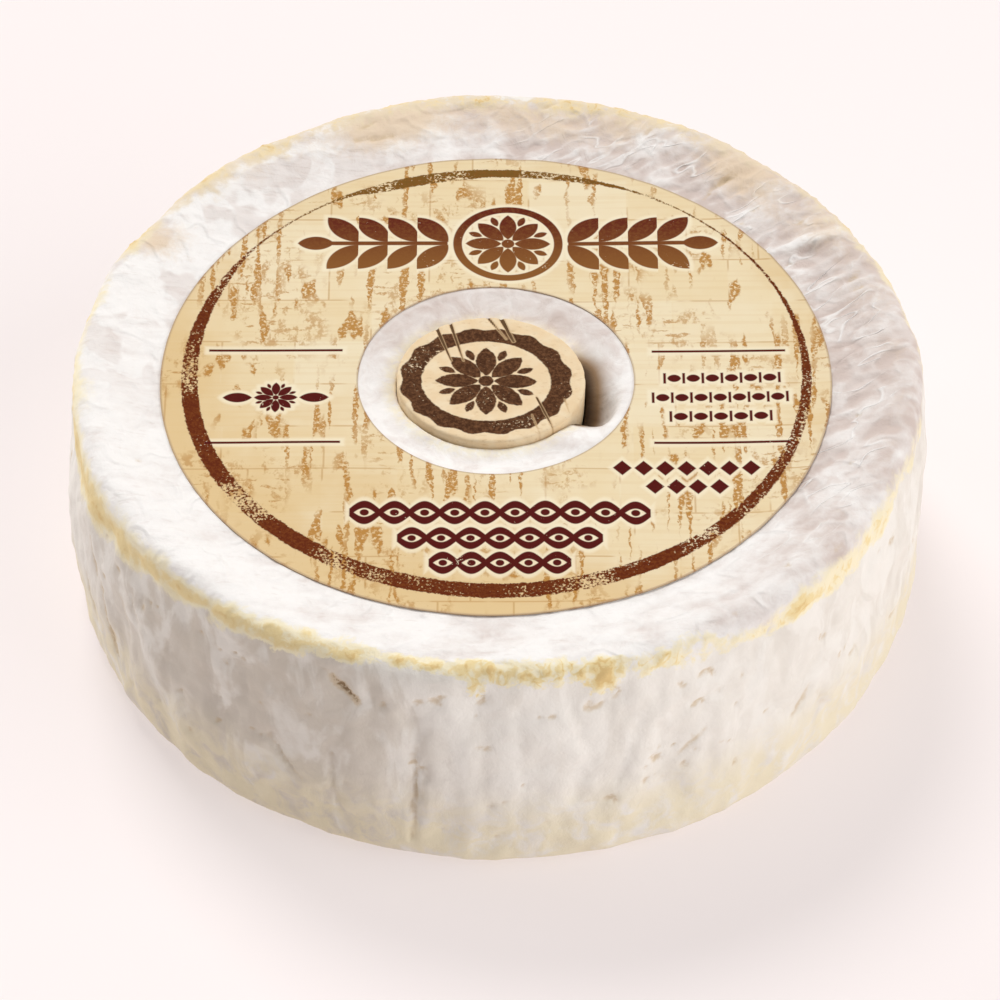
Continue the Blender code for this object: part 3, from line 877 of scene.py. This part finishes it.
labelLook = {
    "paper": (0.8, 0.69, 0.485),
    "panel": (0.76, 0.61, 0.37),
    "golden": (0.68, 0.48, 0.23),
    "ochre": (0.45, 0.215, 0.045),
    "pale": (0.85, 0.76, 0.57),  # round the ornament
    # painted shade along the paper's edges
    "edge": (0.33, 0.22, 0.16),
    "ring": (0.112, 0.018, 0.003),
    "ringLight": (0.28, 0.085, 0.015),
    "olive": (0.175, 0.085, 0.014),
    "maroon": (0.08, 0.005, 0.004),
    "redBrown": (0.11, 0.014, 0.006),
    "ochreBrown": (0.23, 0.09, 0.022),
}
ringThickness = [  # degrees and millimetres
    (-180, 2), (-150, 2.2), (-120, 2.4), (-90, 2.4), (-60, 2.2), (-45, 1.9), (-30, 1.6), (-15, 1.4), (0, 1.15),
    (10, 0.85), (20, 0.55), (35, 0.28), (58, 0.22), (68, 0.55), (78, 1.2), (92, 1.5), (104, 1.85), (114, 1.35),
    (124, 0.35), (136, 0.25), (150, 0.9), (165, 1.6), (180, 2),
]
ringWear = [  # degrees, half width and how worn
    (-144, 18, 0.56), (-118, 12, 0.46), (-98, 10, 0.44), (-74, 12, 0.54), (-50, 16, 0.62), (-24, 12, 0.46),
    (155, 16, 0.5),
]


def rosetteAt(tree, rosette, x, y, size):
    return useGroup(tree, rosette, {"X": x / size, "Y": y / size})[0] * size


def curveOf(tree, share, stops):  # a number that follows the stops, each a place from 0 to 1 and its value
    node = addNode(tree, "FloatCurve", {"Value": share})
    curve = node.mapping.curves[0]
    for place, value in stops[1:-1]:
        curve.points.new(place, value)
    curve.points[0].location, curve.points[-1].location = stops[0], stops[-1]
    node.mapping.update()
    return Wire(tree, node.outputs[0])


def friezeDistance(tree, x, y, rosette):  # a medallion with a spray of leaves to each side
    medal = rosetteAt(tree, rosette, x, y, 5.4)
    band = abs(hyp(x, y) - 6.35) - 0.55
    outward = abs(x) - 7.6
    pitch, pairs = 3.7, 4
    stem = bar(outward - 7.7, y, 7.7, 0.36)
    leafX = inRow(outward - pitch * (pairs - 1) / 2 - 2, pitch, pairs)
    tiltedX, tiltedY = turned(leafX, abs(y) - 2.55, 48)
    spray = leaf(tiltedX, tiltedY, 3.1, 1.42)
    bud = leaf(outward - 16.6, y, 2.3, 1.25)
    return leastOf([medal, band, stem, spray, bud])


def braid(x, y, pitch, height, stroke, count):  # two strands that cross, with a bead in each eye
    wave = (x * (math.pi / pitch) + math.pi / 2 * (count % 2)).calc("SINE") * height
    strands = abs(y - wave).least(abs(y + wave)) * 0.78 - stroke
    beads = hyp(inRow(x, pitch, count), y) - height * 0.4
    return strands.least(beads).most(abs(x) - pitch * count / 2)


def beadAndReel(x, y, pitch, count):
    beads = leaf(inRow(x, pitch, count), y, pitch * 0.36, 0.66)
    reels = bar(inRow(x, pitch, count + 1), y, 0.17, 0.95)
    return beads.least(reels)


def boldOrnament(x, y):  # in the places of the heavier print
    braids = (23.9, 3.62, 1.38, 0.5, 10), (28.3, 3.52, 1.28, 0.48, 7), (32.5, 3.4, 1.28, 0.48, 5)
    shapes = [braid(x, y + down, *sizes) for down, *sizes in braids]
    for rowY, count in ((-16, 7), (-19.2, 4)):
        shapes.append(lozenge(inRow(x - 22.6, 2.6, count), y - rowY, 1.15, 1.3))
    return leastOf(shapes)


def fineOrnament(tree, x, y, rosette):
    rows = (27.3, -0.1, 2.35, 6), (27, 3.4, 2.35, 7), (27, 6.8, 2.45, 5)
    shapes = [beadAndReel(x - middle, y + down, *sizes) for middle, down, *sizes in rows]
    shapes.append(rosetteAt(tree, rosette, x + 27.5, y + 3.4, 2.7))
    shapes.append(leaf(abs(x + 27.5) - 4.7, y + 3.4, 1.8, 0.85))
    for middle, ruleY in ((-27.7, 5), (-27.7, -11.5), (27, 5), (27, -11.5)):
        shapes.append(bar(x - middle, y - ruleY, 8.25, 0.2))
    return leastOf(shapes)


def labelMaterial(grain, wornPrint, rosette):
    material, tree, shader = newMaterial("printed paper", Roughness=0.65, Specular_IOR_Level=0.05)
    look = labelLook
    coat = Coat(tree, look, "paper")
    place = placeIn(tree)
    ownX, y, _ = wiresOf(tree, "SeparateXYZ", {0: place})
    x = ownX - 0.5
    reach = hyp(ownX, y + 0.1)

    haze = noiseOf(tree, place, 0.22, 4, 0.6)
    tiles = addNode(tree, "TexBrick", {
        "Vector": placeIn(tree, scale=(1, 1, 0), shift=(3, 1, 0)), "Scale": 1, "Mortar Size": 0.16,
        "Mortar Smooth": 0.6, "Bias": 0, "Brick Width": 12.5, "Row Height": 7.6,
        "Color1": (0, 0, 0, 1), "Color2": (1, 1, 1, 1), "Mortar": (0.5, 0.5, 0.5, 1),
    }, offset=0.43, squash=0.72, squash_frequency=3)
    tileTone = wiresOf(tree, "SeparateColor", {0: tiles.outputs["Color"]})[0]
    coat.over((tileTone * 0.5 + haze * 0.7).soft(0.25, 0.95) * 0.8, "panel")
    warm = noiseOf(tree, place, 0.1, 3, 0.6) * 0.8 + reach.soft(32, 42) * 0.3 + (x * 0.8 + y).soft(5, -42) * 0.42
    coat.over(warm.soft(0.5, 1.05) * 0.75, "golden")
    lines = stretchedNoise(tree, (0.04, 1.6, 1), 1, 0.4)
    coat.over(lines.soft(0.48, 0.62) * 0.16, "golden")
    seams = Wire(tree, tiles.outputs["Fac"]) * noiseOf(tree, place, 0.16, 2, 0.5).soft(0.46, 0.56)
    coat.over(seams * 0.45, "ochre")

    frieze = friezeDistance(tree, x - 1, y - 25, rosette)
    bold = boldOrnament(x, y)
    small = fineOrnament(tree, x, y, rosette)
    halo = frieze.least(bold).least(small).soft(0.8, 0.25)
    bark = barkPrint(tree, place, x, y)
    coat.over(bark * (1 - halo * 0.85), "ochre")
    coat.over(halo * 0.7, "pale")

    ringX, ringY, ringOuter = x + 0.45, y - 0.35, 38.75  # the ring stands a little off the middle
    turn = ringY.calc("ARCTAN2", ringX) / math.tau + 0.5
    thickness = curveOf(tree, turn, [((a + 180) / 360, t / 3) for a, t in ringThickness]) * 3
    ringReach = hyp(ringX, ringY)
    ragged = (noiseOf(tree, place, 1.5, 4, 0.75) - 0.5) * 0.75
    ring = (ringReach - ringOuter).most(ringOuter - thickness - ringReach) + ragged
    ringInk = mixColour(tree, (y + noiseOf(tree, place, 0.4) * 6).soft(24, 36), look["ring"], look["olive"])
    friezeInk = mixColour(tree, (y - 25).soft(5.5, -5.5), look["redBrown"], look["ochreBrown"])
    ringWorn = 0.36  # at the least
    for direction, halfWidth, amount in ringWear:
        apart = abs(turn - (direction + 180) / 360)
        ringWorn = (apart.soft(halfWidth / 360, 0) * amount).most(ringWorn)
    for shape, ink, lighter, wear, fleck, mottled in (
        (ring, ringInk, look["ringLight"], ringWorn, 0.36, 0.35),
        (frieze, friezeInk, look["ochreBrown"], 0, 0.35, 0.4),
        (bold, look["maroon"], look["redBrown"], 0, 0.35, 0.3),
        (small, look["maroon"], look["redBrown"], 0, 0.35, 0.3),
    ):
        edge = shape.soft(0.08, -0.08)
        inputs = {"Place": place, "Mask": edge, "Wear": wear, "Fleck Size": fleck}
        printed, mottle = useGroup(tree, wornPrint, inputs)
        coat.over(printed, mixColour(tree, mottle * mottled, ink, lighter))
    # painted shade: a dark line along the outer and inner edges of the paper
    edgeShade = reach.soft(40.95, 41.25).most(reach.soft(17.3, 17))
    coat.over(edgeShade * 0.6, "edge")
    cover(tree, shader, coat.colour, useGroup(tree, grain, {"Place": place, "Size": 0.25})[0], 0.03 * mm, 0.5)
    return material


def barkPrint(tree, place, x, y):  # torn upright streaks, ticks and blots of cork bark, printed in ochre
    jag = (noiseOf(tree, place, 0.9, 3, 0.6) - 0.5) * 1.1
    torn = noiseOf(tree, place, 2.2, 3, 0.65).soft(0.36, 0.52)
    layers = []
    for across, down, low, seed in ((0.95, 0.075, 0.585, 3), (0.62, 0.16, 0.61, 17)):
        spot = addNode(tree, "CombineXYZ", {"X": (x + jag) * across + seed, "Y": y * down + seed})
        streaks = noiseOf(tree, spot.outputs[0], 1, 1, 0.4).soft(low - 0.015, low + 0.035)
        where = stretchedNoise(tree, (0.11, 0.055, 1), 2, 0.5, shift=(seed, 0, 0)).soft(0.44, 0.54)
        layers.append(streaks * where)
    tickSpot = addNode(tree, "CombineXYZ", {"X": x * 0.3 + 5, "Y": (y + jag) * 1.3})
    ticks = noiseOf(tree, tickSpot.outputs[0], 1, 1, 0.4).soft(0.62, 0.68)
    spread = stretchedNoise(tree, (0.085, 0.07, 1), 2, 0.5, shift=(9, 4, 0)).soft(0.48, 0.6)
    blots = stretchedNoise(tree, (0.6, 0.4, 1), 5, 0.7).soft(0.53, 0.63)
    return (layers[0].most(layers[1]) * torn * 0.95).most((blots * 0.6).most(ticks * torn * 0.7) * spread)


corkLook = {
    "tan": (0.77, 0.59, 0.37),
    "light": (0.8, 0.655, 0.45),
    "vein": (0.6, 0.41, 0.22),
    "crack": (0.12, 0.065, 0.03),
    "ink": (0.06, 0.022, 0.008),
    "inkWorn": (0.15, 0.065, 0.028),
}


def corkMaterial(grain, wornPrint, rosette):
    material, tree, shader = newMaterial("natural cork", Roughness=0.85, Specular_IOR_Level=0.1)
    coat = Coat(tree, corkLook, "tan")
    place = placeIn(tree)
    x, y, z = wiresOf(tree, "SeparateXYZ", {0: place})
    patches = noiseOf(tree, place, 0.5, 4, 0.6)
    coat.over(patches.soft(0.35, 0.7), "light")
    flecks = stretchedNoise(tree, (1.1, 2.4, 2.4), 2, 0.5)
    coat.over(flecks.soft(0.6, 0.72) * 0.4, "vein")
    pit = mask(tree, "pit")
    coat.over(pit.soft(0.25, 0.9) * 0.5, "vein")

    middle = corkMatrix.translation / mm
    stampX, stampY = x - (middle.x - 0.6), y - (middle.y - 0.5)
    lobes = (stampY.calc("ARCTAN2", stampX) * 16).calc("COSINE") * 0.22
    band = abs(hyp(stampX / 1.08, stampY) - 8.55 + lobes * 0.5) - 1.18 + lobes * 0.5
    medal = rosetteAt(tree, rosette, stampX, stampY, 6.3)
    stamp = band.least(medal) + (noiseOf(tree, place, 1.6, 2) - 0.5) * 0.35
    shape = stamp.soft(0.1, -0.1) * z.soft(31.9, 32.1)
    inputs = {"Place": place, "Mask": shape, "Wear": 0.12, "Fleck Size": 0.35}
    printed, mottle = useGroup(tree, wornPrint, inputs)
    coat.over(printed, mixColour(tree, mottle, corkLook["ink"], corkLook["inkWorn"]))
    crack = mask(tree, "crack")
    coat.over(crack.soft(0.05, 0.3) * 0.7, "vein")
    coat.over(crack.soft(0.25, 0.5), "crack")
    fine = useGroup(tree, grain, {"Place": place, "Size": 0.35})[0]
    cover(tree, shader, coat.colour, fine - flecks.soft(0.6, 0.72) * 0.4, 0.1 * mm, 0.6)
    return material


# Floor, light and camera

studio = {
    "floorColour": (0.925, 0.852, 0.842),
    "floorLight": 1.08,  # light that reaches the open floor
    "floorGlow": 0.5,  # share of the floor's light that shadows leave alone
    "air": (1.0, 0.97, 0.96, 1),
    "airStrength": 0.3,
    "key": {"from": (112, 52), "strength": 1.88, "spread": 24, "colour": (1.0, 0.995, 0.985)},
    "fill": {"from": (-24, 26), "strength": 1.84, "spread": 60, "colour": (1.0, 0.99, 0.98)},
    "edge": {"from": (150, 15), "strength": 0.95, "spread": 30, "colour": (1.0, 0.99, 0.98)},
}
view = {
    "elevation": 44.85,
    "distance": 734 * mm,
    "lookAt": (0.5 * mm, 0.0, -2.7 * mm),
    "lens": 207.7,
    "axisBelowMiddle": 79.4,  # pixels
}


def makeStudio():
    clearSelection()
    bpy.ops.mesh.primitive_plane_add(size=6.0, location=(0, 0, 0))
    floor = bpy.context.object
    floor.name = "studio_floor"
    glow = studio["floorGlow"]
    plain = tuple(c * (1 - glow) for c in studio["floorColour"])
    material = newMaterial(
        "pale floor", Base_Color=(*plain, 1), Roughness=0.9, Specular_IOR_Level=0.0,
        Emission_Color=(*studio["floorColour"], 1), Emission_Strength=glow * studio["floorLight"],
    )[0]
    floor.data.materials.append(material)
    for name in ("key", "fill", "edge"):
        lamp = studio[name]
        azimuth, elevation = (math.radians(a) for a in lamp["from"])
        level = math.cos(elevation)
        towards = Vector((math.cos(azimuth) * level, math.sin(azimuth) * level, math.sin(elevation)))
        bpy.ops.object.light_add(type="SUN", location=towards)
        light = bpy.context.object
        light.name = name + "_light"
        light.rotation_euler = towards.to_track_quat("Z", "Y").to_euler()
        light.data.energy, light.data.angle = lamp["strength"], math.radians(lamp["spread"])
        light.data.color = lamp["colour"]
    world = bpy.data.worlds.new("studio")
    world.use_nodes = True
    background = world.node_tree.nodes["Background"]
    background.inputs["Color"].default_value = studio["air"]
    background.inputs["Strength"].default_value = studio["airStrength"]
    bpy.context.scene.world = world
    bpy.context.scene.view_settings.view_transform = "Standard"


def makeCamera():
    sensorWidth, pictureWidth = 36, 1000  # millimetres, pixels
    rise = math.radians(view["elevation"])
    focalPixels = view["lens"] / sensorWidth * pictureWidth
    lift = math.atan(view["axisBelowMiddle"] / focalPixels)
    place = Vector(view["lookAt"]) + view["distance"] * Vector((0, -math.cos(rise), math.sin(rise)))
    bpy.ops.object.camera_add(location=place, rotation=(math.pi / 2 - rise + lift, 0, 0))
    camera = bpy.context.object
    camera.data.lens, camera.data.sensor_width = view["lens"], sensorWidth
    camera.data.clip_start, camera.data.clip_end = 0.01, 20
    bpy.context.scene.camera = camera


# Putting it together

rind = makeRind()
paperRing = makeLabel(rind)
stopper = makeCork()

grain, wornPrint, rosette = makeGrain(), makeWornPrint(), makeRosette()
for piece, material, node, slot in (
    (rind, rindMaterial(grain), "cheese", "rind"),
    (paperRing, labelMaterial(grain, wornPrint, rosette), "label", "paper"),
    (stopper, corkMaterial(grain, wornPrint, rosette), "cork", "cork"),
):
    piece.data.materials.clear()
    piece.data.materials.append(material)
    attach(piece, "root")
    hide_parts(node)
print("materials and riding done")

makeStudio()
makeCamera()
print("studio and camera done")
